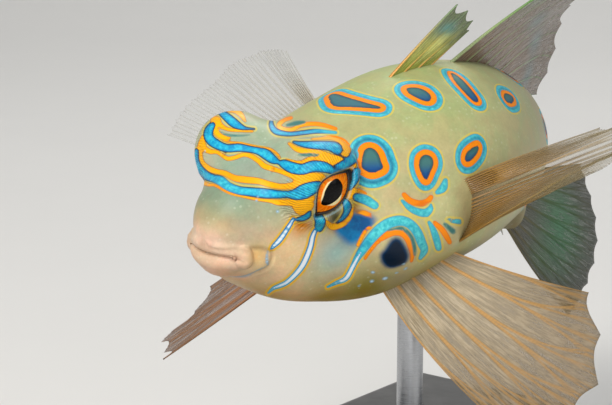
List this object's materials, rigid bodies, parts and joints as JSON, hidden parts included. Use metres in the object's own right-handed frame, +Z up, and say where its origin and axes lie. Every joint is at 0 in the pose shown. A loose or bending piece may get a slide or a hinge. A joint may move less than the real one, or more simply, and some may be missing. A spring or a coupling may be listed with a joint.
{
  "type": "spotted mandarinfish",
  "caption": "Life-size display model of a small reef fish with raised eyes, wide fins and a bent body, held over a flat base by a rod.",
  "frame": {"origin": "middle of the stand's underside", "axes": "+Z up; the fish faces about -Y, so its left side is at +X"},
  "size_m": [0.0403, 0.0689, 0.0453],
  "materials": {
    "skin": "moist smooth skin",
    "fin_web": "thin translucent web",
    "eyeball": "clear gloss",
    "stand_black": "satin",
    "stand_steel": "brushed"
  },
  "bodies": {
    "root": {"head": "skin", "trunk": "skin", "tail": "skin", "eye_left": "eyeball", "eye_right": "eyeball", "fin_dorsal_first": "fin_web", "fin_dorsal_second": "fin_web", "fin_anal": "fin_web", "fin_caudal": "fin_web", "fin_pectoral_left": "fin_web", "fin_pectoral_right": "fin_web", "fin_pelvic_left": "fin_web", "fin_pelvic_right": "fin_web", "stand_base": "stand_black", "stand_rod": "stand_steel"}
  },
  "joints": []
}
